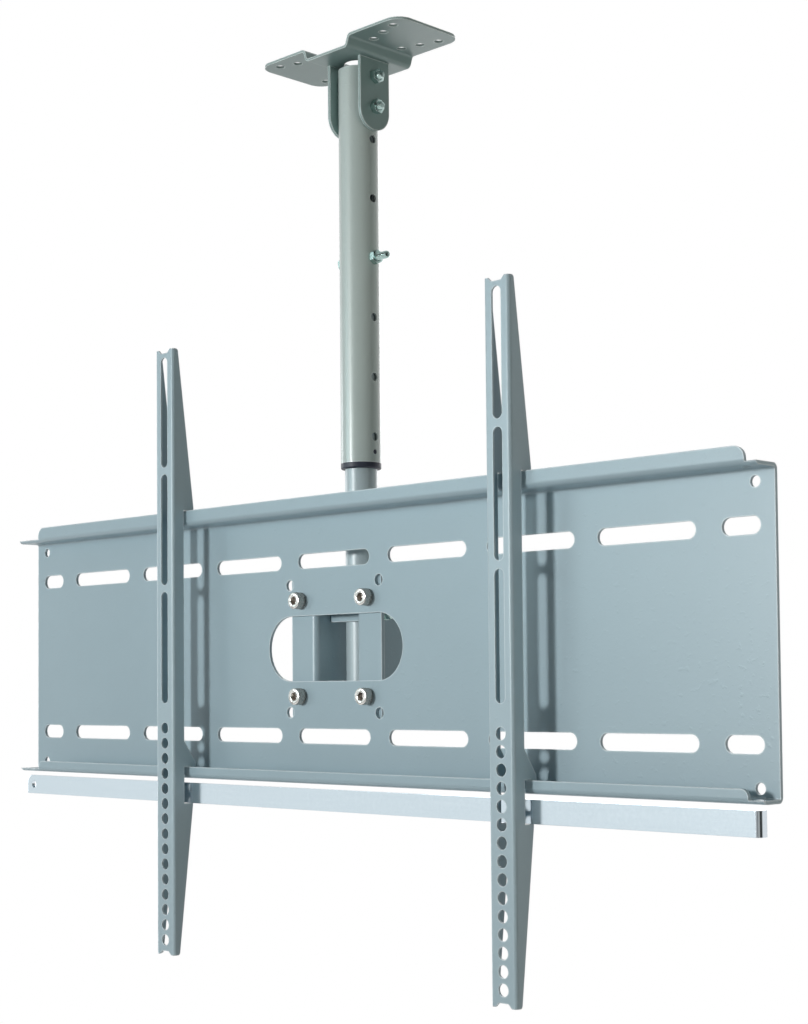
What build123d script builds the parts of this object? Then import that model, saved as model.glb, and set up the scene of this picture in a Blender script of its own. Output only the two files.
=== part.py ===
from build123d import *
import os

os.makedirs("parts", exist_ok=True)

# Ceiling plate
ceiling_length = 160.6
ceiling_width = 70.0
ceiling_sheet = 2.0
ceiling_drop = 8.5
ceiling_step_outer = 25.6
ceiling_step_inner = 22.6
ceiling_corner = 13.0
ceiling_bend = 3.0
ceiling_hole = 7.0
ceiling_hole_inner_x = 33.5
ceiling_hole_inner_y = 15.3
ceiling_hole_pitch_x = 15.5
ceiling_hole_pitch_y = 4.9
ceiling_hole_count = 3
cable_hole = 22.0

# Poles, with their common axis on the origin
outer_pole_diameter = 31.8
outer_pole_wall = 1.6
outer_pole_length = 312.8
outer_pole_top_gap = 5.2
inner_pole_diameter = 25.4
inner_pole_wall = 1.5
inner_pole_below_pivot = 76.0
slot_bridge = 16.5

# Bolts and holes across the poles
cross_bolt = 6.0
cross_hole = 6.5
cross_flats = 10.0
cross_nut_height = 5.2
cross_head_height = 4.0
tab_bolt_below_ceiling = 24.5
tab_bolt_pitch = 24.2
height_hole_below_tab_bolts = 24.8
height_hole_pitch = 47.0
height_hole_margin = 18.0
spare_upper_holes = 2
travel_steps = 2
height_bolt_end = 31.5
tab_bolt_end = 27.0

# Tabs that carry the outer pole
tab_width = 31.3
tab_sheet = 2.6
tab_clearance = 0.1
tab_below_bolts = 18.3

# Bush at the outer pole's mouth
bush_rim = 4.5
bush_sleeve = 12.5
bush_fit = 0.1
bush_run = 0.25
bush_pip = 3.4
bush_pip_hole = 3.8
bush_pip_above_rim = 8.1
bush_pip_recess = 0.3
bush_round = 1.2

# Tilt pivot
pivot_drop = 444.0
pivot_bolt_diameter = 8.0
pivot_run = 0.1
pivot_flats = 13.0
pivot_head_height = 5.3
pivot_nut_height = 6.5
pivot_thread_end = 3.1
washer_diameter = 16.0
washer_sheet = 1.6

# Yoke on the inner pole
yoke_half_width = 21.9
yoke_sheet = 3.0
yoke_bend = 3.5
yoke_below_pivot = 8.6
yoke_above_pivot = 27.0
yoke_back = 14.0
yoke_corner = 5.0

# Brackets behind the wall plate
bracket_gap = 0.4
bracket_sheet = 3.0
bracket_bend = 3.5
bracket_flange_edge = 50.3
bracket_half_height = 55.0
bracket_back = 27.0
bracket_corner = 12.0
bracket_flange_corner = 3.0

# Wall plate, measured from the centre of its opening
plate_length = 800.0
plate_sheet = 2.5
plate_below_pivot = 29.0
plate_front = 31.0
plate_top = 104.6
plate_bottom = 102.8
plate_bend = 2.8
top_lip_reach = 20.8
top_lip_tip = 116.0
top_lip_left_inset = 30.5
top_lip_right_inset = 8.6
top_lip_corner = 8.0
bottom_lip_reach = 18.5
bottom_lip_tip = 94.6
bottom_lip_left_inset = 28.0
bottom_lip_right_inset = 11.2
bottom_lip_corner = 5.5
opening_length = 150.0
opening_height = 51.0
slot_length = 80.0
slot_height = 11.5
slot_pitch = 100.0
end_slot_length = 29.0
end_slot_inset = 25.5
slot_row = 68.3
square_hole = 8.5
square_hole_pitch = 100.0
corner_hole = 7.5
corner_hole_inset = 14.5
corner_hole_z = 95.4
ledge_hole = 6.0
ledge_hole_inset = 14.0
ledge_hole_front = 10.0

# Screws that hold the brackets
screw_diameter = 8.0
screw_clearance = 0.25
screw_pitch = 75.0
screw_head_diameter = 13.0
screw_head_height = 8.0
screw_socket = 6.0
screw_socket_depth = 4.2
screw_thread_end = 2.4

# Arms, with the same heights as the wall plate
arm_width = 23.0
arm_sheet = 1.5
arm_bend = 2.6
arm_front = 33.0
arm_top = 250.0
arm_bottom = 247.0
arm_end_corner = 2.2
arm_relief_depth = 3.0
arm_relief_floor = 8.6
arm_relief_mouth = 14.8
arm_top_depth = 5.4
arm_mid_depth = 11.0
arm_bottom_depth = 6.0
arm_hook_depth = 21.4
arm_hook_above_lip = 2.6
arm_hook_run = 0.4
arm_hook_tooth = 8.5
arm_hook_tip = 2.5
arm_nose_back = 10.0
arm_nose_tooth = 5.5
arm_nose_heel = 3.0
arm_nose_rise = 20.7
arm_nose_round = 5.0
arm_shoulder_drop = 1.7
arm_catch_height = 7.0
arm_catch_sheet = 2.0
arm_slot_width = 8.4
arm_slot_length = 91.4
arm_slot_first = 197.6
arm_slot_pitch = 97.1
arm_slot_count = 3
arm_hole = 8.8
arm_hole_first = 62.8
arm_hole_pitch = 12.31
arm_hole_count = 15
left_arm_x = -168.0
right_arm_x = 200.6

# Security bar under the wall plate
bar_sheet = 3.0
bar_height = 16.5
bar_bottom = 124.0
bar_front = 18.3
bar_left = 389.0
bar_right = 396.5
bar_leg = 8.2
bar_bend = 1.8
bar_clip = 5.0
bar_hole = 6.5
bar_hole_inset = 9.6
bar_run = 0.3

# Heights and depths that follow from the sizes above
ceiling_under = -(ceiling_drop + ceiling_sheet)
outer_radius = outer_pole_diameter / 2
outer_bore = outer_radius - outer_pole_wall
inner_radius = inner_pole_diameter / 2
outer_top = ceiling_under - outer_pole_top_gap
outer_bottom = outer_top - outer_pole_length
tab_inner = outer_radius + tab_clearance
tab_outer = tab_inner + tab_sheet
tab_bolt_z = [-tab_bolt_below_ceiling - n * tab_bolt_pitch for n in range(2)]
tab_bottom = tab_bolt_z[1] - tab_below_bolts
first_hole_z = tab_bolt_z[1] - height_hole_below_tab_bolts
height_hole_count = 1 + int((first_hole_z - outer_bottom - height_hole_margin) // height_hole_pitch)
height_hole_z = [first_hole_z - n * height_hole_pitch for n in range(height_hole_count)]
height_bolt_z = height_hole_z[spare_upper_holes]
height_travel = travel_steps * height_hole_pitch
inner_top = height_bolt_z + height_travel + cross_hole / 2 + slot_bridge
pivot_z = -pivot_drop
inner_bottom = pivot_z - inner_pole_below_pivot
pivot_hole = pivot_bolt_diameter + 2 * pivot_run
web_inner = yoke_half_width + bracket_gap
web_outer = web_inner + bracket_sheet
plate_z = pivot_z - plate_below_pivot
plate_face_y = -plate_front
plate_back_y = plate_face_y + plate_sheet
flange_back_y = plate_back_y + bracket_sheet
screw_hole = screw_diameter + 2 * screw_clearance
screw_x = screw_pitch / 2
slot_count = int(plate_length // slot_pitch) - 1
end_slot_x = plate_length / 2 - end_slot_inset
bar_mid_y = plate_face_y - bar_front + bar_sheet / 2

with BuildPart() as ceiling_plate:
    with BuildSketch(Plane.XZ):
        with BuildLine():
            FilletPolyline(
                (-ceiling_length / 2, -ceiling_sheet / 2),
                (-ceiling_step_outer, -ceiling_sheet / 2),
                (-ceiling_step_inner, ceiling_under + ceiling_sheet / 2),
                (ceiling_step_inner, ceiling_under + ceiling_sheet / 2),
                (ceiling_step_outer, -ceiling_sheet / 2),
                (ceiling_length / 2, -ceiling_sheet / 2),
                radius=ceiling_bend,
            )
        trace(line_width=ceiling_sheet)
    extrude(amount=ceiling_width / 2, both=True)
    fillet(ceiling_plate.edges().filter_by(Axis.Z), radius=ceiling_corner)
    for n in range(ceiling_hole_count):
        hole_x = ceiling_hole_inner_x + n * ceiling_hole_pitch_x
        hole_y = ceiling_hole_inner_y + n * ceiling_hole_pitch_y
        with GridLocations(2 * hole_x, 2 * hole_y, 2, 2):
            Hole(ceiling_hole / 2)
    Hole(cable_hole / 2)
ceiling_plate.part.label = "ceiling_plate"
export_step(ceiling_plate.part, "parts/ceiling_plate.step")

with BuildPart() as left_pole_tab:
    with BuildSketch(Plane.YZ.offset(-tab_outer)):
        with Locations((0, (ceiling_under + tab_bottom + tab_width / 2) / 2)):
            Rectangle(tab_width, ceiling_under - tab_bottom - tab_width / 2)
        with Locations((0, tab_bottom + tab_width / 2)):
            Circle(tab_width / 2)
        with Locations(*[(0, z) for z in tab_bolt_z]):
            Circle(cross_hole / 2, mode=Mode.SUBTRACT)
    extrude(amount=tab_sheet)
left_pole_tab.part.label = "left_pole_tab"
export_step(left_pole_tab.part, "parts/left_pole_tab.step")

with BuildPart() as right_pole_tab:
    add(left_pole_tab.part.mirror(Plane.YZ))
right_pole_tab.part.label = "right_pole_tab"
export_step(right_pole_tab.part, "parts/right_pole_tab.step")

with BuildPart() as tab_bolts:
    with BuildSketch(Plane.YZ.offset(-tab_outer)):
        with Locations(*[(0, z) for z in tab_bolt_z]):
            Circle(cross_bolt / 2)
    extrude(amount=tab_outer + tab_bolt_end)
    with BuildSketch(Plane.YZ.offset(-tab_outer)):
        with Locations(*[(0, z) for z in tab_bolt_z]):
            RegularPolygon(cross_flats / 2, 6, major_radius=False, rotation=30)
    extrude(amount=-cross_head_height)
tab_bolts.part.label = "tab_bolts"
export_step(tab_bolts.part, "parts/tab_bolts.step")

with BuildPart() as tab_nuts:
    with BuildSketch(Plane.YZ.offset(tab_outer)):
        with Locations(*[(0, z) for z in tab_bolt_z]):
            RegularPolygon(cross_flats / 2, 6, major_radius=False, rotation=30)
            Circle(cross_bolt / 2, mode=Mode.SUBTRACT)
    extrude(amount=cross_nut_height)
tab_nuts.part.label = "tab_nuts"
export_step(tab_nuts.part, "parts/tab_nuts.step")

with BuildPart() as outer_pole:
    with BuildSketch(Plane.XY.offset(outer_bottom)):
        Circle(outer_radius)
        Circle(outer_bore, mode=Mode.SUBTRACT)
    extrude(amount=outer_pole_length)
    with BuildSketch(Plane.YZ):
        with Locations(*[(0, z) for z in tab_bolt_z + height_hole_z]):
            Circle(cross_hole / 2)
    extrude(amount=outer_pole_diameter, both=True, mode=Mode.SUBTRACT)
    with BuildSketch(Plane.YZ):
        with Locations((0, outer_bottom + bush_pip_above_rim)):
            Circle(bush_pip_hole / 2)
    extrude(amount=outer_pole_diameter, mode=Mode.SUBTRACT)
outer_pole.part.label = "outer_pole"
export_step(outer_pole.part, "parts/outer_pole.step")

with BuildPart() as pole_bush:
    with BuildSketch(Plane.XY.offset(outer_bottom)):
        Circle(outer_radius)
    extrude(amount=-bush_rim)
    with BuildSketch(Plane.XY.offset(outer_bottom)):
        Circle(outer_bore - bush_fit)
    extrude(amount=bush_sleeve)
    with BuildSketch(Plane.YZ):
        with Locations((0, outer_bottom + bush_pip_above_rim)):
            Circle(bush_pip / 2)
    extrude(amount=outer_radius - bush_pip_recess)
    with BuildSketch(Plane.XY.offset(outer_bottom - bush_rim)):
        Circle(inner_radius + bush_run)
    extrude(amount=bush_rim + bush_sleeve, mode=Mode.SUBTRACT)
    fillet(pole_bush.edges().group_by(Axis.Z)[0].sort_by(SortBy.RADIUS)[-1], radius=bush_round)
pole_bush.part.label = "pole_bush"
export_step(pole_bush.part, "parts/pole_bush.step")

with BuildPart() as height_bolt:
    with BuildSketch(Plane.YZ.offset(-outer_radius)):
        with Locations((0, height_bolt_z)):
            Circle(cross_bolt / 2)
    extrude(amount=outer_radius + height_bolt_end)
    with BuildSketch(Plane.YZ.offset(-outer_radius)):
        with Locations((0, height_bolt_z)):
            RegularPolygon(cross_flats / 2, 6, major_radius=False, rotation=30)
    extrude(amount=-cross_head_height)
height_bolt.part.label = "height_bolt"
export_step(height_bolt.part, "parts/height_bolt.step")

with BuildPart() as height_nut:
    with BuildSketch(Plane.YZ.offset(outer_radius)):
        with Locations((0, height_bolt_z)):
            RegularPolygon(cross_flats / 2, 6, major_radius=False, rotation=30)
            Circle(cross_bolt / 2, mode=Mode.SUBTRACT)
    extrude(amount=cross_nut_height)
height_nut.part.label = "height_nut"
export_step(height_nut.part, "parts/height_nut.step")

with BuildPart() as inner_pole:
    with BuildSketch(Plane.XY.offset(inner_bottom)):
        Circle(inner_radius)
        Circle(inner_radius - inner_pole_wall, mode=Mode.SUBTRACT)
    extrude(amount=inner_top - inner_bottom)
    with BuildSketch(Plane.YZ):
        with Locations((0, height_bolt_z + height_travel / 2)):
            SlotCenterToCenter(height_travel, cross_hole, rotation=90)
        with Locations((0, pivot_z)):
            Circle(pivot_hole / 2)
    extrude(amount=inner_pole_diameter, both=True, mode=Mode.SUBTRACT)
inner_pole.part.label = "inner_pole"
export_step(inner_pole.part, "parts/inner_pole.step")

with BuildPart() as pivot_yoke:
    with BuildSketch(Plane.XY.offset(pivot_z - yoke_below_pivot)):
        with BuildLine():
            FilletPolyline(
                (-yoke_half_width + yoke_sheet / 2, yoke_back),
                (-yoke_half_width + yoke_sheet / 2, -inner_radius - yoke_sheet / 2),
                (yoke_half_width - yoke_sheet / 2, -inner_radius - yoke_sheet / 2),
                (yoke_half_width - yoke_sheet / 2, yoke_back),
                radius=yoke_bend,
            )
        trace(line_width=yoke_sheet)
    extrude(amount=yoke_below_pivot + yoke_above_pivot)
    fillet(pivot_yoke.edges().filter_by(Axis.X).group_by(Axis.Y)[-1], radius=yoke_corner)
    with BuildSketch(Plane.YZ):
        with Locations((0, pivot_z)):
            Circle(pivot_hole / 2)
    extrude(amount=yoke_half_width, both=True, mode=Mode.SUBTRACT)
pivot_yoke.part.label = "pivot_yoke"
export_step(pivot_yoke.part, "parts/pivot_yoke.step")

with BuildPart() as right_tilt_bracket:
    with BuildSketch(Plane.XY.offset(plate_z - bracket_half_height)):
        with BuildLine():
            FilletPolyline(
                (bracket_flange_edge, plate_back_y + bracket_sheet / 2),
                (web_inner + bracket_sheet / 2, plate_back_y + bracket_sheet / 2),
                (web_inner + bracket_sheet / 2, bracket_back),
                radius=bracket_bend,
            )
        trace(line_width=bracket_sheet)
    extrude(amount=2 * bracket_half_height)
    fillet(right_tilt_bracket.edges().filter_by(Axis.X).group_by(Axis.Y)[-1], radius=bracket_corner)
    fillet(right_tilt_bracket.edges().filter_by(Axis.Y).group_by(Axis.X)[-1], radius=bracket_flange_corner)
    with BuildSketch(Plane.YZ.offset(web_inner)):
        with Locations((0, pivot_z)):
            Circle(pivot_hole / 2)
    extrude(amount=bracket_sheet, mode=Mode.SUBTRACT)
    with BuildSketch(Plane.XZ.offset(-plate_back_y)):
        with Locations((screw_x, plate_z)):
            with GridLocations(0, screw_pitch, 1, 2):
                Circle(screw_hole / 2)
    extrude(amount=-bracket_sheet, mode=Mode.SUBTRACT)
right_tilt_bracket.part.label = "right_tilt_bracket"
export_step(right_tilt_bracket.part, "parts/right_tilt_bracket.step")

with BuildPart() as left_tilt_bracket:
    add(right_tilt_bracket.part.mirror(Plane.YZ))
left_tilt_bracket.part.label = "left_tilt_bracket"
export_step(left_tilt_bracket.part, "parts/left_tilt_bracket.step")

with BuildPart() as pivot_bolt:
    with BuildSketch(Plane.YZ.offset(-web_outer - washer_sheet)):
        with Locations((0, pivot_z)):
            Circle(pivot_bolt_diameter / 2)
    extrude(amount=2 * (web_outer + washer_sheet) + pivot_nut_height + pivot_thread_end)
    with BuildSketch(Plane.YZ.offset(-web_outer - washer_sheet)):
        with Locations((0, pivot_z)):
            RegularPolygon(pivot_flats / 2, 6, major_radius=False)
    extrude(amount=-pivot_head_height)
pivot_bolt.part.label = "pivot_bolt"
export_step(pivot_bolt.part, "parts/pivot_bolt.step")

with BuildPart() as pivot_washers:
    with BuildSketch(Plane.YZ.offset(web_outer)):
        with Locations((0, pivot_z)):
            Circle(washer_diameter / 2)
            Circle(pivot_bolt_diameter / 2, mode=Mode.SUBTRACT)
    extrude(amount=washer_sheet)
    mirror(about=Plane.YZ)
pivot_washers.part.label = "pivot_washers"
export_step(pivot_washers.part, "parts/pivot_washers.step")

with BuildPart() as pivot_nut:
    with BuildSketch(Plane.YZ.offset(web_outer + washer_sheet)):
        with Locations((0, pivot_z)):
            RegularPolygon(pivot_flats / 2, 6, major_radius=False)
            Circle(pivot_bolt_diameter / 2, mode=Mode.SUBTRACT)
    extrude(amount=pivot_nut_height)
pivot_nut.part.label = "pivot_nut"
export_step(pivot_nut.part, "parts/pivot_nut.step")

with BuildPart() as wall_plate:
    with BuildSketch(Plane.YZ.offset(-plate_length / 2)):
        with BuildLine():
            FilletPolyline(
                (plate_face_y - top_lip_reach + plate_sheet / 2, plate_z + top_lip_tip),
                (plate_face_y - top_lip_reach + plate_sheet / 2, plate_z + plate_top),
                (plate_face_y + plate_sheet / 2, plate_z + plate_top),
                (plate_face_y + plate_sheet / 2, plate_z - plate_bottom),
                (plate_face_y - bottom_lip_reach + plate_sheet / 2, plate_z - plate_bottom),
                (plate_face_y - bottom_lip_reach + plate_sheet / 2, plate_z - bottom_lip_tip),
                radius=plate_bend,
            )
        trace(line_width=plate_sheet)
    extrude(amount=plate_length)
    # Lips stop short of the plate's ends
    with BuildSketch(Plane.XZ.offset(-plate_face_y)):
        for side, inset, tip, ledge in (
            (-1, top_lip_left_inset, top_lip_tip, plate_top + plate_sheet / 2),
            (1, top_lip_right_inset, top_lip_tip, plate_top + plate_sheet / 2),
            (-1, bottom_lip_left_inset, -bottom_lip_tip, -plate_bottom + plate_sheet / 2),
            (1, bottom_lip_right_inset, -bottom_lip_tip, -plate_bottom + plate_sheet / 2),
        ):
            with Locations((side * (plate_length - inset) / 2, plate_z + (tip + ledge) / 2)):
                Rectangle(inset, tip - ledge)
    extrude(amount=top_lip_reach, mode=Mode.SUBTRACT)
    fillet(wall_plate.edges().filter_by(Axis.Y).group_by(Axis.Z)[-1], radius=top_lip_corner)
    low_tip_z = plate_z - bottom_lip_tip
    low_lip_ends = wall_plate.edges().filter_by(Axis.Y).sort_by(lambda edge: abs(edge.center().Z - low_tip_z))
    fillet(low_lip_ends[0:2], radius=bottom_lip_corner)
    # Openings through the face
    with BuildSketch(Plane.XZ.offset(-plate_back_y)):
        with Locations((0, plate_z)):
            SlotOverall(opening_length, opening_height)
            with GridLocations(slot_pitch, 2 * slot_row, slot_count, 2):
                SlotOverall(slot_length, slot_height)
            with GridLocations(2 * end_slot_x, 2 * slot_row, 2, 2):
                SlotOverall(end_slot_length, slot_height)
            with GridLocations(square_hole_pitch, square_hole_pitch, 2, 2):
                Circle(square_hole / 2)
            with GridLocations(plate_length - 2 * corner_hole_inset, 2 * corner_hole_z, 2, 2):
                Circle(corner_hole / 2)
            with GridLocations(screw_pitch, screw_pitch, 2, 2):
                Circle(screw_hole / 2)
    extrude(amount=plate_sheet, mode=Mode.SUBTRACT)
    with BuildSketch(Plane.XY.offset(plate_z)):
        with Locations((0, plate_face_y - ledge_hole_front)):
            with GridLocations(plate_length - 2 * ledge_hole_inset, 0, 2, 1):
                Circle(ledge_hole / 2)
    extrude(amount=plate_top + plate_sheet, both=True, mode=Mode.SUBTRACT)
wall_plate.part.label = "wall_plate"
export_step(wall_plate.part, "parts/wall_plate.step")

with BuildPart() as plate_screws:
    with BuildSketch(Plane.XZ.offset(-plate_face_y)):
        with Locations((0, plate_z)):
            with GridLocations(screw_pitch, screw_pitch, 2, 2):
                Circle(screw_head_diameter / 2)
    extrude(amount=screw_head_height)
    with BuildSketch(Plane.XZ.offset(screw_head_height - plate_face_y)):
        with Locations((0, plate_z)):
            with GridLocations(screw_pitch, screw_pitch, 2, 2):
                RegularPolygon(screw_socket / 2, 6, major_radius=False)
    extrude(amount=-screw_socket_depth, mode=Mode.SUBTRACT)
    with BuildSketch(Plane.XZ.offset(-plate_face_y)):
        with Locations((0, plate_z)):
            with GridLocations(screw_pitch, screw_pitch, 2, 2):
                Circle(screw_diameter / 2)
    extrude(amount=-(plate_sheet + bracket_sheet + washer_sheet + pivot_nut_height + screw_thread_end))
plate_screws.part.label = "plate_screws"
export_step(plate_screws.part, "parts/plate_screws.step")

with BuildPart() as plate_washers:
    with BuildSketch(Plane.XZ.offset(-flange_back_y)):
        with Locations((0, plate_z)):
            with GridLocations(screw_pitch, screw_pitch, 2, 2):
                Circle(washer_diameter / 2)
                Circle(screw_diameter / 2, mode=Mode.SUBTRACT)
    extrude(amount=-washer_sheet)
plate_washers.part.label = "plate_washers"
export_step(plate_washers.part, "parts/plate_washers.step")

with BuildPart() as plate_nuts:
    with BuildSketch(Plane.XZ.offset(-flange_back_y - washer_sheet)):
        with Locations((0, plate_z)):
            with GridLocations(screw_pitch, screw_pitch, 2, 2):
                RegularPolygon(pivot_flats / 2, 6, major_radius=False)
                Circle(screw_diameter / 2, mode=Mode.SUBTRACT)
    extrude(amount=-pivot_nut_height)
plate_nuts.part.label = "plate_nuts"
export_step(plate_nuts.part, "parts/plate_nuts.step")

# Side outline of an arm, from its front edge back to the plate
arm_front_y = plate_face_y - arm_front
lip_front_y = plate_face_y - top_lip_reach
lip_back_y = lip_front_y + plate_sheet
low_lip_front_y = plate_face_y - bottom_lip_reach
low_lip_back_y = low_lip_front_y + plate_sheet
hook_z = plate_z + top_lip_tip + arm_hook_run
hook_back_y = arm_front_y + arm_hook_depth
edge_y = arm_front_y + arm_mid_depth
nose_z = plate_z - bottom_lip_tip + arm_hook_run
nose_back_y = plate_face_y - arm_nose_back
bar_seat_z = plate_z - bar_bottom - bar_run
catch_front_y = bar_mid_y + bar_sheet / 2 + bar_run
catch_back_y = catch_front_y + arm_catch_sheet

with BuildPart() as left_arm:
    with BuildSketch(Plane.YZ.offset(left_arm_x - arm_width / 2)):
        with BuildLine():
            Polyline(
                (edge_y, hook_z),
                (lip_back_y + arm_hook_run, hook_z),
                (lip_back_y + arm_hook_run, hook_z - arm_hook_tooth + arm_hook_tip),
                (lip_back_y + arm_hook_run + arm_hook_tip, hook_z - arm_hook_tooth),
                (hook_back_y - arm_hook_tip, hook_z - arm_hook_tooth),
                (hook_back_y, hook_z - arm_hook_tooth + arm_hook_tip),
                (hook_back_y, hook_z + arm_hook_above_lip),
                (arm_front_y + arm_top_depth, plate_z + arm_top),
                (arm_front_y, plate_z + arm_top),
                (arm_front_y, plate_z - arm_bottom),
                (arm_front_y + arm_bottom_depth, plate_z - arm_bottom),
                (catch_back_y, bar_seat_z - arm_shoulder_drop),
                (catch_back_y, bar_seat_z + arm_catch_height),
                (catch_front_y, bar_seat_z + arm_catch_height),
                (catch_front_y, bar_seat_z),
                (edge_y, bar_seat_z),
                (edge_y, nose_z),
                (low_lip_back_y + arm_hook_run, nose_z),
                (low_lip_back_y + arm_hook_run, nose_z - arm_nose_tooth),
                (nose_back_y, nose_z - arm_nose_tooth),
                (nose_back_y, nose_z + arm_nose_heel),
                (edge_y, nose_z + arm_nose_rise),
                close=True,
            )
        make_face()
    extrude(amount=arm_width)
    for corner, radius in (
        ((left_arm_x, arm_front_y + arm_top_depth, plate_z + arm_top), arm_end_corner),
        ((left_arm_x, arm_front_y + arm_bottom_depth, plate_z - arm_bottom), arm_end_corner),
        ((left_arm_x, nose_back_y, nose_z + arm_nose_heel), arm_nose_round),
    ):
        fillet(left_arm.edges().filter_by(Axis.X).sort_by_distance(corner)[0], radius=radius)
    fillet(left_arm.edges().filter_by(Axis.Z).group_by(Axis.Y)[0], radius=arm_bend)
    # The channel is open to the back
    with BuildSketch(Plane.XZ.offset(-arm_front_y - arm_sheet)):
        with Locations((left_arm_x, plate_z)):
            Rectangle(arm_width - 2 * arm_sheet, 2 * arm_top)
    extrude(amount=-plate_front, mode=Mode.SUBTRACT)
    with BuildSketch(Plane.XZ.offset(-arm_front_y)):
        with Locations(*[(left_arm_x, plate_z + arm_slot_first - n * arm_slot_pitch) for n in range(arm_slot_count)]):
            SlotOverall(arm_slot_length, arm_slot_width, rotation=90)
        with Locations(*[(left_arm_x, plate_z - arm_hole_first - n * arm_hole_pitch) for n in range(arm_hole_count)]):
            Circle(arm_hole / 2)
        for end_z, floor_z in (
            (arm_top, arm_top - arm_relief_depth),
            (-arm_bottom, arm_relief_depth - arm_bottom),
        ):
            with Locations((left_arm_x, plate_z)):
                Polygon(
                    (-arm_relief_mouth / 2, end_z),
                    (-arm_relief_floor / 2, floor_z),
                    (arm_relief_floor / 2, floor_z),
                    (arm_relief_mouth / 2, end_z),
                    align=None,
                )
    extrude(amount=-arm_sheet, mode=Mode.SUBTRACT)
left_arm.part.label = "left_arm"
export_step(left_arm.part, "parts/left_arm.step")

with BuildPart() as right_arm:
    with Locations((right_arm_x - left_arm_x, 0, 0)):
        add(left_arm.part)
right_arm.part.label = "right_arm"
export_step(right_arm.part, "parts/right_arm.step")

with BuildPart() as security_bar:
    with BuildSketch(Plane.XY.offset(plate_z - bar_bottom)):
        with BuildLine():
            FilletPolyline(
                (-bar_left, bar_mid_y),
                (bar_right - bar_sheet / 2, bar_mid_y),
                (bar_right - bar_sheet / 2, bar_mid_y - bar_sheet / 2 + bar_leg),
                radius=bar_bend,
            )
        trace(line_width=bar_sheet)
    extrude(amount=bar_height)
    clip_corner = security_bar.edges().filter_by(Axis.Y).group_by(Axis.X)[0].sort_by(Axis.Z)[-1]
    chamfer(clip_corner, length=bar_clip)
    with BuildSketch(Plane.XZ.offset(-bar_mid_y)):
        with Locations((-bar_left + bar_hole_inset, plate_z - bar_bottom + bar_height / 2)):
            Circle(bar_hole / 2)
    extrude(amount=bar_sheet, both=True, mode=Mode.SUBTRACT)
security_bar.part.label = "security_bar"
export_step(security_bar.part, "parts/security_bar.step")
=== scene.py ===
import math
import bpy
from mathutils import Matrix, Vector


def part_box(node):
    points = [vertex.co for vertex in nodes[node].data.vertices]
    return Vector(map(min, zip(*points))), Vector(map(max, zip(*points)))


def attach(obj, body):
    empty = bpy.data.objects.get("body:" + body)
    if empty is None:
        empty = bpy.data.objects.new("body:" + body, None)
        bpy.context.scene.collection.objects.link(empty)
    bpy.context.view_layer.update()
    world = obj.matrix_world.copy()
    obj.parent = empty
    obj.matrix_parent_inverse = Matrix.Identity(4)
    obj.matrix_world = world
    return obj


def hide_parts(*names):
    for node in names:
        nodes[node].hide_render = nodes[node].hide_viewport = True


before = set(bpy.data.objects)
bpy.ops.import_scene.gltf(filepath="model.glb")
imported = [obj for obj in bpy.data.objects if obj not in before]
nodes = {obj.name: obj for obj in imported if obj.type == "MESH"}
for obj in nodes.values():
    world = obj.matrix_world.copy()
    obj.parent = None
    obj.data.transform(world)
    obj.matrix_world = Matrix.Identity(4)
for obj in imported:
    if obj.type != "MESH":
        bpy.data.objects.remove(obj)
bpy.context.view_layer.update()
print("frame loaded:", len(nodes), "nodes")

mm = 0.001
scene = bpy.context.scene
scene.view_settings.view_transform = "Standard"

# Camera at the photograph's angle
cameraLook = {
    "place": (1.02043, -0.98261, -0.50349),
    "azimuth": 44.76,
    "elevation": -2.658,
    "roll": -0.496,
    "sensor": 36,
    "lens": 80.72,
    "shiftY": 0.1121,
    "clipEnd": 60,
}


def aimCamera(look):
    az, el, roll = (math.radians(look[key]) for key in ("azimuth", "elevation", "roll"))
    ahead = Vector((-math.sin(az) * math.cos(el), math.cos(az) * math.cos(el), -math.sin(el)))
    right = Vector((math.cos(az), math.sin(az), 0))
    up = right.cross(ahead)
    camRight = right * math.cos(roll) + up * math.sin(roll)
    camUp = up * math.cos(roll) - right * math.sin(roll)
    turn = Matrix((camRight, camUp, -ahead)).transposed().to_4x4()
    data = bpy.data.cameras.new("photoCamera")
    data.sensor_fit = "HORIZONTAL"
    data.sensor_width = look["sensor"]
    data.lens = look["lens"]
    data.shift_y = look["shiftY"]
    data.clip_end = look["clipEnd"]
    camera = bpy.data.objects.new("photoCamera", data)
    camera.matrix_world = Matrix.Translation(look["place"]) @ turn
    scene.collection.objects.link(camera)
    scene.camera = camera


aimCamera(cameraLook)
print("camera set")


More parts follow.
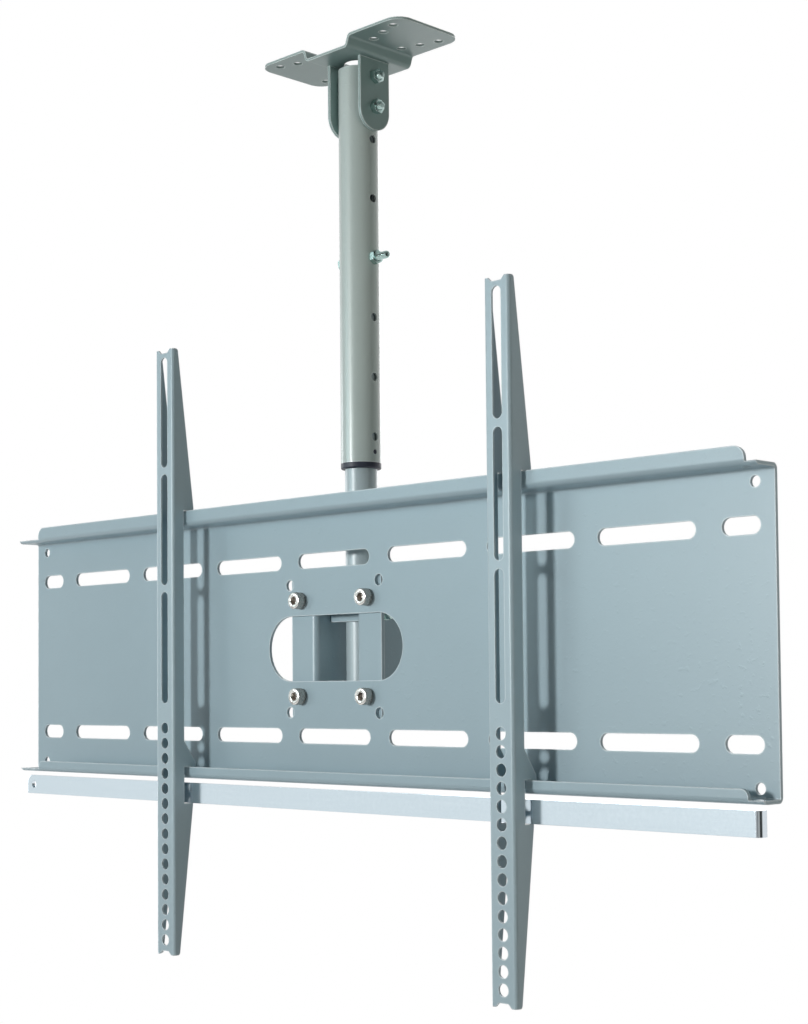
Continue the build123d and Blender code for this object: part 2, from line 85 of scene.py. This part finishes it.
class Sock:
    # One shader socket, so that sums on sockets read as plain expressions
    def __init__(self, tree, out=None):
        self.tree = tree
        self.out = out

    def node(self, kind, settings=None, links=None, give=0):
        made = self.tree.nodes.new(kind)
        for key, value in (settings or {}).items():
            setattr(made, key, value)
        for key, value in (links or {}).items():
            if isinstance(value, Sock):
                self.tree.links.new(value.out, made.inputs[key])
            else:
                made.inputs[key].default_value = value
        return Sock(self.tree, made.outputs[give] if made.outputs else None)

    def math(self, operation, a, b, clamp=False):
        return self.node("ShaderNodeMath", {"operation": operation, "use_clamp": clamp}, {0: a, 1: b})

    def __add__(self, other):
        return self.math("ADD", self, other)

    def __radd__(self, other):
        return self.math("ADD", other, self)

    def __sub__(self, other):
        return self.math("SUBTRACT", self, other)

    def __rsub__(self, other):
        return self.math("SUBTRACT", other, self)

    def __mul__(self, other):
        return self.math("MULTIPLY", self, other)

    def __rmul__(self, other):
        return self.math("MULTIPLY", other, self)

    def clamped(self):
        return self.math("ADD", self, 0.0, clamp=True)

    def swing(self, reach):
        # a noise round its own middle, as far as reach from end to end
        return (self - 0.5) * reach

    def blend(self, low, high):
        # this socket is the share of the second colour
        return self.node("ShaderNodeMix", {"data_type": "RGBA"}, {0: self, 6: low, 7: high}, 2)

    def dot(self, other):
        return self.node("ShaderNodeVectorMath", {"operation": "DOT_PRODUCT"}, {0: self, 1: other}, "Value")

    def stretch(self, factors):
        return self.node("ShaderNodeVectorMath", {"operation": "MULTIPLY"}, {0: self, 1: factors})

    def noise(self, scale, detail=2.0, rough=0.5):
        return self.node(
            "ShaderNodeTexNoise", {"normalize": True},
            {"Vector": self, "Scale": scale, "Detail": detail, "Roughness": rough},
        )

    def rounded(self, radius):
        # the surface's normal, turning softly over its edges
        return self.node("ShaderNodeBevel", {"samples": 6}, {"Radius": radius})

    def bumped(self, strength, depth, normal):
        # this socket is the height
        return self.node(
            "ShaderNodeBump", None,
            {"Height": self, "Strength": strength, "Distance": depth, "Normal": normal},
        )


def rgb(levels):
    # a colour as read off a screen, 0 to 255, by the sRGB curve
    shares = [level / 255 for level in levels]
    return (*(((share + 0.055) / 1.055) ** 2.4 if share > 0.04045 else share / 12.92 for share in shares), 1)


def newMaterial(name):
    material = bpy.data.materials.new(name)
    material.use_nodes = True
    tree = material.node_tree
    tree.nodes.clear()
    return material, Sock(tree)


def placeOn(start):
    return start.node("ShaderNodeTexCoord", give="Object")


def edgeWear(start, look):
    # a mask for painted highlights: 0 on flats, rising along the rounded edge lines
    flat = start.node("ShaderNodeNewGeometry", give="Normal")
    soft = start.rounded(look["bevel"] * look["edgeReach"])
    return (1 - soft.dot(flat)).clamped() * look["highlightGain"]


def finishMaterial(start, varying, fixed):
    shader = start.node("ShaderNodeBsdfPrincipled", None, {**fixed, **varying})
    start.node("ShaderNodeOutputMaterial", None, {"Surface": shader})


coatLook = {
    "color": (163, 186, 195),
    "shade": (152, 175, 184),
    "edge": (226, 236, 239),
    "metallic": 0.04,
    "roughness": 0.42,
    "coat": 0.4,
    "coatRoughness": 0.3,
    "mottleScale": 9,
    "mottleShare": 0.7,
    "mottleSwing": 0.05,
    "cloudScale": 60,
    "cloudShare": 0.3,
    "cloudSwing": 0.06,
    "peelScale": 420,
    "peelStrength": 0.4,
    "peelDepth": 0.00012,
    "pimpleScale": 230,
    "pimpleFloor": 0.6,
    "pimpleGain": 6,
    "pimpleStrength": 0.6,
    "pimpleDepth": 0.0003,
    "bevel": 0.0005,
    "edgeReach": 3,
    "edgeShare": 0.85,
    "highlightGain": 16.0,
}
# the head and the poles are greyer than the plate and the arms; the head's copy is also darker, as painted
# shade for its shaded underside, and the outer pole's copy lighter, as painted light
headLook = {
    **coatLook, "color": (142, 166, 164), "shade": (128, 153, 150), "edge": (230, 241, 239), "coat": 0.3,
}
armLook = {**coatLook, "color": (173, 194, 202), "shade": (163, 185, 193), "highlightGain": 9.0}
poleLook = {
    **coatLook, "color": (193, 207, 203), "shade": (183, 197, 193), "edge": (222, 232, 231),
    "coat": 0.6, "coatRoughness": 0.22,
}
innerLook = {**coatLook, "color": (190, 206, 210), "shade": (180, 196, 200)}


def coatMaterial(name, look):
    material, start = newMaterial(name)
    at = placeOn(start)
    mottle = at.noise(look["mottleScale"], detail=3)
    cloud = at.noise(look["cloudScale"], detail=4, rough=0.6)
    peel = at.noise(look["peelScale"])
    edge = edgeWear(start, look)
    tone = (mottle * look["mottleShare"] + cloud * look["cloudShare"]).clamped()
    base = tone.blend(rgb(look["shade"]), rgb(look["color"]))
    # painted highlight: a light colour laid along the rounded edges
    base = (edge.clamped() * look["edgeShare"]).blend(base, rgb(look["edge"]))
    rough = look["roughness"] + cloud.swing(look["cloudSwing"]) + mottle.swing(look["mottleSwing"])
    normal = peel.bumped(look["peelStrength"], look["peelDepth"], start.rounded(look["bevel"]))
    pimples = ((at.noise(look["pimpleScale"]) - look["pimpleFloor"]) * look["pimpleGain"]).clamped() * mottle
    normal = pimples.bumped(look["pimpleStrength"], look["pimpleDepth"], normal)
    finishMaterial(
        start,
        {"Base Color": base, "Roughness": rough, "Normal": normal},
        {"Metallic": look["metallic"], "Coat Weight": look["coat"], "Coat Roughness": look["coatRoughness"]},
    )
    return material


zincLook = {
    "color": (212, 226, 224),
    "shade": (160, 182, 178),
    "cast": (150, 196, 186),
    "edge": (232, 236, 236),
    "roughness": 0.24,
    "swing": 0.2,
    "drawn": (1, 1, 1),
    "streakScale": 700,
    "streakShare": 0.6,
    "spangleScale": 420,
    "spangleShare": 0.4,
    "spangleBump": 0.3,
    "cloudScale": 45,
    "cloudShare": 0.6,
    "castShare": 0.5,
    "bumpStrength": 0.3,
    "bumpDepth": 0.00003,
    "bevel": 0.0003,
    "edgeReach": 1.5,
    "edgeShare": 0.5,
    "highlightGain": 2.5,
}
capLook = {
    **zincLook, "color": (226, 224, 220), "shade": (184, 177, 170), "cast": (150, 136, 124),
    "castShare": 0.6, "roughness": 0.26,
}
# a brighter copy of the cap zinc for the screws' front faces: painted light, so the lit face stands out from
# the darker sides
capLitFaceLook = {
    **capLook, "color": (232, 232, 228), "shade": (216, 214, 209), "cast": (222, 216, 208),
    "castShare": 0.4, "roughness": 0.2,
}
# streaks run along the bar
barLook = {
    **zincLook, "color": (226, 234, 240), "shade": (214, 224, 232), "cast": (214, 220, 214),
    "castShare": 0.0, "roughness": 0.15, "swing": 0.05, "drawn": (0.03, 1, 1), "bumpStrength": 0.05,
    "bevel": 0.0004,
}


def zincMaterial(name, look):
    material, start = newMaterial(name)
    at = placeOn(start)
    streak = at.stretch(look["drawn"]).noise(look["streakScale"], detail=3, rough=0.6)
    cloud = at.noise(look["cloudScale"], detail=3)
    spangle = start.node(
        "ShaderNodeTexVoronoi", {"feature": "F1"}, {"Vector": at, "Scale": look["spangleScale"]}
    )
    edge = edgeWear(start, look)
    tone = (streak * look["streakShare"] + spangle * look["spangleShare"]).clamped()
    base = tone.blend(rgb(look["shade"]), rgb(look["color"]))
    base = (cloud * look["castShare"]).clamped().blend(base, rgb(look["cast"]))
    # painted highlight: a light colour laid along the rounded edges
    base = (edge * look["edgeShare"]).clamped().blend(base, rgb(look["edge"]))
    rough = look["roughness"] + (streak - 0.5 + cloud.swing(look["cloudShare"])) * look["swing"]
    soft = start.rounded(look["bevel"])
    normal = (streak + spangle * look["spangleBump"]).bumped(look["bumpStrength"], look["bumpDepth"], soft)
    finishMaterial(start, {"Base Color": base, "Roughness": rough, "Normal": normal}, {"Metallic": 1.0})
    return material


bushLook = {
    "color": (36, 42, 56),
    "wornAndHighlight": (64, 70, 84),
    "wornShare": 0.5,
    "roughness": 0.48,
    "swing": 0.2,
    "ior": 1.48,
    "grainScale": 1400,
    "grainStrength": 0.4,
    "grainDepth": 0.00004,
    "cloudScale": 80,
    "bevel": 0.0004,
    "edgeReach": 1.5,
    "highlightGain": 2.0,
}


def bushMaterial(name, look):
    material, start = newMaterial(name)
    at = placeOn(start)
    grain = at.noise(look["grainScale"])
    cloud = at.noise(look["cloudScale"], detail=3)
    edge = edgeWear(start, look)
    base = (cloud * look["wornShare"]).blend(rgb(look["color"]), rgb(look["wornAndHighlight"]))
    # painted highlight: the edges turn to the lighter colour along the rounded edges
    base = edge.clamped().blend(base, rgb(look["wornAndHighlight"]))
    rough = look["roughness"] + cloud.swing(look["swing"])
    normal = grain.bumped(look["grainStrength"], look["grainDepth"], start.rounded(look["bevel"]))
    finishMaterial(start, {"Base Color": base, "Roughness": rough, "Normal": normal}, {"IOR": look["ior"]})
    return material


finishes = {
    "coat": coatMaterial("silverCoat", coatLook),
    "coatHead": coatMaterial("silverCoatHead", headLook),
    "coatPole": coatMaterial("silverCoatPole", poleLook),
    "coatInner": coatMaterial("silverCoatInner", innerLook),
    "coatArm": coatMaterial("silverCoatArm", armLook),
    "zincBar": zincMaterial("zincBar", barLook),
    "zincSmall": zincMaterial("zincSmall", zincLook),
    "zincCap": zincMaterial("zincCap", capLook),
    "zincCapLitFace": zincMaterial("zincCapLitFace", capLitFaceLook),
    "bush": bushMaterial("bushPlastic", bushLook),
}
coated = {
    "coat": ("pivot_yoke", "left_tilt_bracket", "right_tilt_bracket", "wall_plate"),
    "coatArm": ("left_arm", "right_arm"),
    "coatHead": ("ceiling_plate", "left_pole_tab", "right_pole_tab"),
    "coatPole": ("outer_pole",),
    "coatInner": ("inner_pole",),
}
wears = {name: finish for finish, names in coated.items() for name in names}
wears.update(security_bar="zincBar", pole_bush="bush")
for name, piece in nodes.items():
    piece.data.materials.clear()
    piece.data.materials.append(finishes[wears.get(name, "zincSmall")])
print("finishes on", len(nodes), "nodes")


# Fasteners, turned ring by ring round their own axis, in millimetres
hexLook = {
    "steps": 48,
    "rim": 0.95,  # the chamfer's circle, as a share of the flats
    "chamfer": 30,  # degrees
    "centre": 0.3,  # a ring on the head's top, as a share of the rim
    "collar": 0.3,
    "boreChamfer": 0.5,
}
threadLook = {
    "perTurn": 6,
    "depth": 0.54,  # as a share of the pitch
    "tip": 0.4,
}


def hexRadius(flats, angle):
    # distance from the axis to a hexagon's side
    return flats / 2 / math.cos((angle + math.pi / 6) % (math.pi / 3) - math.pi / 6)


def turned(name, rings, centres, closed=False, steps=hexLook["steps"]):
    # rings give (along, radius) at an angle; centres place each copy with its axis and start turn
    points, faces = [], []
    for centre, axis, spin in centres:
        along = Vector(axis)
        side = Vector((0, 0, 1))
        third = along.cross(side)
        first = len(points)
        for at in rings:
            for n in range(steps):
                angle = 2 * math.pi * n / steps
                distance, radius = at(angle)
                out = side * math.cos(angle + spin) + third * math.sin(angle + spin)
                points.append(Vector(centre) + along * distance + out * radius)
        count = len(rings)
        for r in range(count if closed else count - 1):
            here, there = first + r * steps, first + (r + 1) % count * steps
            for n in range(steps):
                m = (n + 1) % steps
                faces.append((here + n, here + m, there + m, there + n))
        if not closed:
            faces.append(tuple(first + n for n in reversed(range(steps))))
            faces.append(tuple(first + (count - 1) * steps + n for n in range(steps)))
    mesh = bpy.data.meshes.new(name)
    mesh.from_pydata([point * mm for point in points], [], faces)
    mesh.update()
    piece = bpy.data.objects.new(name, mesh)
    scene.collection.objects.link(piece)
    return piece


def smooth(piece, degrees=35):
    for face in piece.data.polygons:
        face.use_smooth = True
    piece.data.set_sharp_from_angle(angle=math.radians(degrees))


def dress(piece, body, node, finish="zincSmall"):
    piece.data.materials.append(finishes[finish])
    smooth(piece)
    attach(piece, body)
    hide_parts(node)


def ring(along, radius):
    return lambda angle: (along, radius)


def hexRing(along, flats, lean=0):
    # with a lean of 1 or -1 the corners fall back from the rim, as the chamfer does
    def at(angle):
        reach = hexRadius(flats, angle)
        drop = (reach - hexLook["rim"] * flats / 2) * math.tan(math.radians(hexLook["chamfer"]))
        return along - lean * drop, reach

    return at


def threadRings(start, end, major, pitch):
    # from start to end below the head, with a narrowed tip
    count = max(2, round((end - start) / pitch * threadLook["perTurn"]))
    rings = []
    for n in range(count + 1):
        below = start + (end - start) * n / count

        def at(angle, below=below):
            phase = (below / pitch - angle / (2 * math.pi)) % 1
            valley = abs(2 * phase - 1)
            lead = min(1, (end - below) / pitch)
            return -below, major - threadLook["depth"] * pitch * valley - threadLook["tip"] * (1 - lead)

        rings.append(at)
    return rings


def boltRings(look):
    # the underside of the head is at 0 and the shank runs to -length
    flats, head, radius = look["flats"], look["head"], look["radius"]
    rim, collar = hexLook["rim"] * flats / 2, hexLook["collar"]
    rings = [
        ring(head, rim * hexLook["centre"]), ring(head, rim), hexRing(head, flats, 1), hexRing(collar, flats),
        ring(collar, rim), ring(0, rim), ring(0, radius), ring(-look["plain"], radius),
    ]
    return rings + threadRings(look["plain"], look["length"], radius, look["pitch"])


def nutRings(look):
    # the nut seats at 0, and its last ring joins its first through the bore
    flats, height, radius = look["flats"], look["height"], look["radius"]
    rim, chamfer = hexLook["rim"] * flats / 2, hexLook["boreChamfer"]
    return [
        ring(0, radius), ring(0, rim), hexRing(0, flats, -1), hexRing(height, flats, 1),
        ring(height, rim), ring(height, radius + chamfer), ring(height - chamfer, radius),
    ]


def faceOf(node, axis, high=True):
    # a node's own end, in millimetres
    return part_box(node)[1 if high else 0][axis] / mm


def middlesOf(node, axis, half):
    # the middles of the first and the last of a node's like pieces
    return faceOf(node, axis, False) + half, faceOf(node, axis) - half


# a spin is the start turn in radians, and differs so that no two hexagons stand alike
tabBoltLook = {"flats": 10, "head": 4, "radius": 2.97, "pitch": 1.0, "plain": 37, "length": 45.6, "spin": 0.2}
tabNutLook = {"flats": 10, "height": 5.2, "radius": 2.97, "spin": 0.1, "twist": 1 / 9}
leftward = (-1, 0, 0)
rightward = (1, 0, 0)
smallHalf = tabNutLook["flats"] / 2 / math.cos(math.pi / 6)
tabFace = faceOf("right_pole_tab", 0)
tabZ = middlesOf("tab_nuts", 2, smallHalf)
boltPlaces = [((-tabFace, 0, z), leftward, tabBoltLook["spin"] + z) for z in tabZ]
nutPlaces = [((tabFace, 0, z), rightward, tabNutLook["spin"] + z * tabNutLook["twist"]) for z in tabZ]
dress(turned("tabBolts", boltRings(tabBoltLook), boltPlaces), "ceiling_mount", "tab_bolts")
dress(turned("tabNuts", nutRings(tabNutLook), nutPlaces, closed=True), "ceiling_mount", "tab_nuts")

heightBoltLook = {**tabBoltLook, "plain": 32, "length": 47.4, "spin": 0.3}
heightNutLook = {**tabNutLook, "spin": 0.5}
poleFace = faceOf("outer_pole", 0)
heightZ = middlesOf("height_nut", 2, smallHalf)[0]
boltPlaces = [((-poleFace, 0, heightZ), leftward, heightBoltLook["spin"])]
nutPlaces = [((poleFace, 0, heightZ), rightward, heightNutLook["spin"])]
dress(turned("heightBolt", boltRings(heightBoltLook), boltPlaces), "ceiling_mount", "height_bolt")
dress(turned("heightNut", nutRings(heightNutLook), nutPlaces, closed=True), "ceiling_mount", "height_nut")

pivotBoltLook = {
    "flats": 13, "head": 5.3, "radius": 3.97, "pitch": 1.25, "plain": 54, "length": 63.4, "spin": 0.0,
}
pivotNutLook = {"flats": 13, "height": 6.5, "radius": 3.97, "spin": 0.4}
washerHalf = 8
pivotZ = middlesOf("pivot_washers", 2, washerHalf)[0]
washerFace = faceOf("pivot_washers", 0)
boltPlaces = [((-washerFace, 0, pivotZ), leftward, pivotBoltLook["spin"])]
nutPlaces = [((washerFace, 0, pivotZ), rightward, pivotNutLook["spin"])]
dress(turned("pivotBolt", boltRings(pivotBoltLook), boltPlaces), "tilt_head", "pivot_bolt")
dress(turned("pivotNut", nutRings(pivotNutLook), nutPlaces, closed=True), "tilt_head", "pivot_nut")

screwLook = {
    "radius": 4,
    "slack": 0.03,  # between the thread's crests and the radius
    "plain": 1,  # where the thread starts below the head
    "length": 16,
    "pitch": 1.25,
    "head": 8,
    "headRadius": 6.5,
    "crown": 0.75,
    "crownDrop": 0.35,
    "shoulder": 0.2,
    "foot": 0.5,
    "footRise": 0.3,
    "knurls": 36,
    "knurlDepth": 0.28,
    "knurlTop": 0.8,
    "knurlFoot": 0.7,
    "socket": 6,
    "socketDepth": 4.2,
    "mouthShare": 1.22,  # shares are of half the socket's flats
    "mouthDrop": 0.35,
    "drillShare": 0.98,
    "drillDepth": 0.9,
    "drillRadius": 0.2,
    "litFaceDepth": 0.5,  # how far back from the front the brighter copy reaches, painted light on the screws' lit front faces
}
screwX = middlesOf("plate_screws", 0, screwLook["headRadius"])
screwZ = middlesOf("plate_screws", 2, screwLook["headRadius"])
screwPlaces = [(x, z) for x in screwX for z in screwZ]
nutY = faceOf("plate_washers", 1)
nutPlaces = [((x, nutY, z), (0, 1, 0), x) for x, z in screwPlaces]
dress(turned("plateNuts", nutRings(pivotNutLook), nutPlaces, closed=True), "tilt_head", "plate_nuts")
print("hexagon fasteners turned")


def screwRings(look):
    # from the socket's drilled bottom out over the head and down the shank
    radius, head, outer, socket = (look[key] for key in ("radius", "head", "headRadius", "socket"))
    floor = head - look["socketDepth"]

    def knurl(along):
        def at(angle):
            tooth = abs((angle * look["knurls"] / (2 * math.pi)) % 1 * 2 - 1)
            return along, outer - look["knurlDepth"] * tooth

        return at

    rings = [
        ring(floor - look["drillDepth"], look["drillRadius"]),
        ring(floor, socket / 2 * look["drillShare"]),
        hexRing(floor, socket),
        hexRing(head - look["mouthDrop"], socket),
        ring(head, socket / 2 * look["mouthShare"]),
        ring(head, outer - look["crown"]),
        ring(head - look["crownDrop"], outer - look["shoulder"]),
        knurl(head - look["knurlTop"]),
        knurl(head / 2),
        knurl(look["knurlFoot"]),
        ring(look["footRise"], outer - look["shoulder"]),
        ring(0, outer - look["foot"]),
        ring(0, radius),
    ]
    return rings + threadRings(look["plain"], look["length"], radius - look["slack"], look["pitch"])


plateFront = faceOf("plate_screws", 1, False) + screwLook["head"]
capPlaces = [((x, plateFront, z), (0, -1, 0), x) for x, z in screwPlaces]
screws = turned("plateScrews", screwRings(screwLook), capPlaces, steps=4 * screwLook["knurls"])
dress(screws, "tilt_head", "plate_screws", "zincCap")
screws.data.materials.append(finishes["zincCapLitFace"])
litFaceY = (plateFront - screwLook["head"] + screwLook["litFaceDepth"]) * mm  # what lies before it gets the brighter copy: painted light on the lit front face
for face in screws.data.polygons:
    face.material_index = 1 if face.center.y < litFaceY else 0
print("cap screws turned")


# Studio: with diffuse False a lamp is a card that only shines in gloss, with gloss False it never does
studioLook = {
    "lamps": {
        "key": {"at": (-0.71, -2.9, -0.18), "size": (0.3, 0.36), "power": 44, "color": (0.98, 0.99, 0.99)},
        "soft": {
            "at": (-1.6, -2.0, 0.05), "size": (2.7, 2.4), "power": 16.5, "color": (0.93, 0.99, 1.0),
            "diffuse": False,
        },
        "high": {
            "at": (-1.7, -2.3, 0.08), "size": (1.1, 0.4), "power": 8, "color": (0.7, 0.94, 1.0),
            "diffuse": False,
        },
        "side": {
            "at": (2.6, -0.3, -0.4), "size": (1.6, 1.6), "power": 12, "color": (1.0, 0.96, 0.88),
            "gloss": False,
        },
        "fill": {
            "at": (2.2, -1.6, -0.3), "size": (1.8, 1.8), "power": 4, "color": (1.0, 0.98, 0.95),
            "diffuse": False,
        },
        "front": {
            "at": (0.4, -3.0, -0.4), "size": (2.0, 1.8), "power": 4, "color": (1.0, 1.0, 1.0),
            "diffuse": False,
        },
        "rim": {
            "at": (-3.0, -0.2, -0.45), "size": (0.9, 1.4), "power": 17, "color": (0.93, 0.97, 1.0),
            "diffuse": False,
        },
        "under": {"at": (0.3, -0.8, -2.0), "size": (2.5, 2.5), "power": 1, "color": (1.0, 1.0, 0.98)},
        "top": {"at": (0.2, -0.4, 1.7), "size": (2.5, 2.5), "power": 14, "color": (1.0, 1.0, 1.0)},
        "back": {"at": (-1.2, 2.6, 0.3), "size": (2.0, 2.0), "power": 30, "color": (1.0, 1.0, 1.0)},
    },
    "aim": (0, 0, -0.45),
    "floorZ": -2.3,
    "floorSize": 9.0,
    "floorColor": (0.82, 0.82, 0.82, 1),
    "floorGlow": 0.98,
    "lean": (-0.7, -0.35, -0.62),
    "middle": 0.5,
    "swing": 0.5,
    "dark": (0.03, 0.033, 0.03, 1),
    "light": (0.11, 0.116, 0.118, 1),
    "backdrop": (-0.5, 0.87, 0.0),
    "backdropGain": 2.0,
    "white": (1, 1, 1, 1),
}


def addLamp(name, look, aim):
    data = bpy.data.lights.new(name, "AREA")
    data.shape = "RECTANGLE"
    data.size, data.size_y = look["size"]
    data.energy = look["power"]
    data.color = look["color"]
    lamp = bpy.data.objects.new(name, data)
    lamp.visible_camera = False
    lamp.visible_glossy = look.get("gloss", True)
    lamp.visible_diffuse = look.get("diffuse", True)
    lamp.location = look["at"]
    lamp.rotation_euler = (Vector(aim) - Vector(look["at"])).to_track_quat("-Z", "Y").to_euler()
    scene.collection.objects.link(lamp)


def addFloor(look):
    half, z = look["floorSize"] / 2, look["floorZ"]
    corners = [(-half, -half, z), (half, -half, z), (half, half, z), (-half, half, z)]
    mesh = bpy.data.meshes.new("floor")
    mesh.from_pydata(corners, [], [(0, 1, 2, 3)])
    floor = bpy.data.objects.new("floor", mesh)
    scene.collection.objects.link(floor)
    material, start = newMaterial("floorWhite")
    seen = start.node("ShaderNodeLightPath", give="Is Camera Ray")
    shine = start.node("ShaderNodeLightPath", give="Is Glossy Ray")
    diffuse = start.node("ShaderNodeBsdfDiffuse", None, {"Color": look["floorColor"]})
    glow = start.node("ShaderNodeEmission", None, {"Color": look["white"], "Strength": 1.0})
    share = (seen + shine).clamped() * look["floorGlow"]
    mixed = start.node("ShaderNodeMixShader", None, {0: share, 1: diffuse, 2: glow})
    start.node("ShaderNodeOutputMaterial", None, {"Surface": mixed})
    mesh.materials.append(material)


def lightWorld(look):
    world = bpy.data.worlds.new("studio")
    scene.world = world
    world.use_nodes = True
    tree = world.node_tree
    tree.nodes.clear()
    start = Sock(tree)
    way = start.node("ShaderNodeTexCoord", give="Generated")
    seen = start.node("ShaderNodeLightPath", give="Is Camera Ray")
    glow = (look["middle"] + way.dot(look["lean"]) * look["swing"]).clamped()
    color = glow.blend(look["dark"], look["light"])
    # gloss shows the white backdrop that the camera sees behind the part
    shine = start.node("ShaderNodeLightPath", give="Is Glossy Ray")
    behind = (way.dot(look["backdrop"]) * look["backdropGain"]).clamped()
    color = (seen + shine * behind).clamped().blend(color, look["white"])
    back = start.node("ShaderNodeBackground", None, {"Color": color, "Strength": 1.0})
    start.node("ShaderNodeOutputWorld", None, {"Surface": back})


addFloor(studioLook)
lightWorld(studioLook)
for lampName, lampLook in studioLook["lamps"].items():
    addLamp(lampName, lampLook, studioLook["aim"])
print("studio lit")
